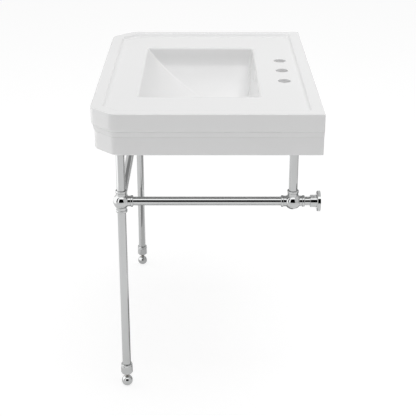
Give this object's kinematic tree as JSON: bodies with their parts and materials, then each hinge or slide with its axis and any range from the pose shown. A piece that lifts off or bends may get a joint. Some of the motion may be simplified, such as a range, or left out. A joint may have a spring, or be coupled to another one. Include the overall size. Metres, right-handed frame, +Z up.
{
  "type": "console sink with legs",
  "caption": "Rectangular china console basin with clipped front corners on a chrome tube frame with ball fittings, front legs, a towel bar and wall flanges.",
  "frame": {"origin": "middle of the wall anchor hole pattern, on the basin's back face, 60 mm below the top of the rim", "axes": "+X to the right of somebody standing in front, +Y into the wall, +Z up"},
  "size_m": [0.832, 0.591, 0.813],
  "materials": {
    "vitreous_china": "gloss glaze, white",
    "polished_chrome": "mirror polished",
    "screw_steel": "plain stainless",
    "black_nylon": "moulded",
    "pad_rubber": "matte"
  },
  "bodies": {
    "sink": {"basin": "vitreous_china", "towel_bar": "polished_chrome", "fitting_set_screws": "screw_steel", "upper_leg_left": "polished_chrome", "lower_leg_left": "polished_chrome", "side_rail_left": "polished_chrome", "rear_riser_left": "polished_chrome", "wall_stub_left": "polished_chrome", "front_ball_fitting_left": "polished_chrome", "rear_ball_fitting_left": "polished_chrome", "foot_ferrule_left": "polished_chrome", "front_top_plug_left": "black_nylon", "rear_top_plug_left": "black_nylon", "front_support_pad_left": "pad_rubber", "rear_support_pad_left": "pad_rubber", "upper_leg_right": "polished_chrome", "lower_leg_right": "polished_chrome", "side_rail_right": "polished_chrome", "rear_riser_right": "polished_chrome", "wall_stub_right": "polished_chrome", "front_ball_fitting_right": "polished_chrome", "rear_ball_fitting_right": "polished_chrome", "foot_ferrule_right": "polished_chrome", "front_top_plug_right": "black_nylon", "rear_top_plug_right": "black_nylon", "front_support_pad_right": "pad_rubber", "rear_support_pad_right": "pad_rubber"},
    "foot_stud_left": {"foot_stud_left": "screw_steel"},
    "ball_foot_left": {"ball_foot_left": "polished_chrome"},
    "wall_flange_left": {"wall_flange_left": "polished_chrome", "wall_set_screw_left": "screw_steel"},
    "foot_stud_right": {"foot_stud_right": "screw_steel"},
    "ball_foot_right": {"ball_foot_right": "polished_chrome"},
    "wall_flange_right": {"wall_flange_right": "polished_chrome", "wall_set_screw_right": "screw_steel"}
  },
  "joints": [
    {"name": "foot_rise_left", "type": "slide", "parent": "sink", "child": "foot_stud_left", "axis": [0, 0, 1], "range_m": [-0.015, 0.006]},
    {"name": "foot_turn_left", "type": "hinge", "parent": "foot_stud_left", "child": "ball_foot_left", "pos_m": [-0.371, -0.517, -0.738], "axis": [0, 0, 1], "range_deg": [-3085, 1234]},
    {"name": "flange_slide_left", "type": "slide", "parent": "sink", "child": "wall_flange_left", "axis": [0, -1, 0], "range_m": [0, 0.012]},
    {"name": "foot_rise_right", "type": "slide", "parent": "sink", "child": "foot_stud_right", "axis": [0, 0, 1], "range_m": [-0.015, 0.006]},
    {"name": "foot_turn_right", "type": "hinge", "parent": "foot_stud_right", "child": "ball_foot_right", "pos_m": [0.371, -0.517, -0.738], "axis": [0, 0, 1], "range_deg": [-3085, 1234]},
    {"name": "flange_slide_right", "type": "slide", "parent": "sink", "child": "wall_flange_right", "axis": [0, -1, 0], "range_m": [0, 0.012]}
  ],
  "couplings": [
    {"joint": "foot_rise_left", "follows": "foot_turn_left", "m_per_rad": 0.00027852},
    {"joint": "foot_rise_right", "follows": "foot_turn_right", "m_per_rad": 0.00027852}
  ]
}
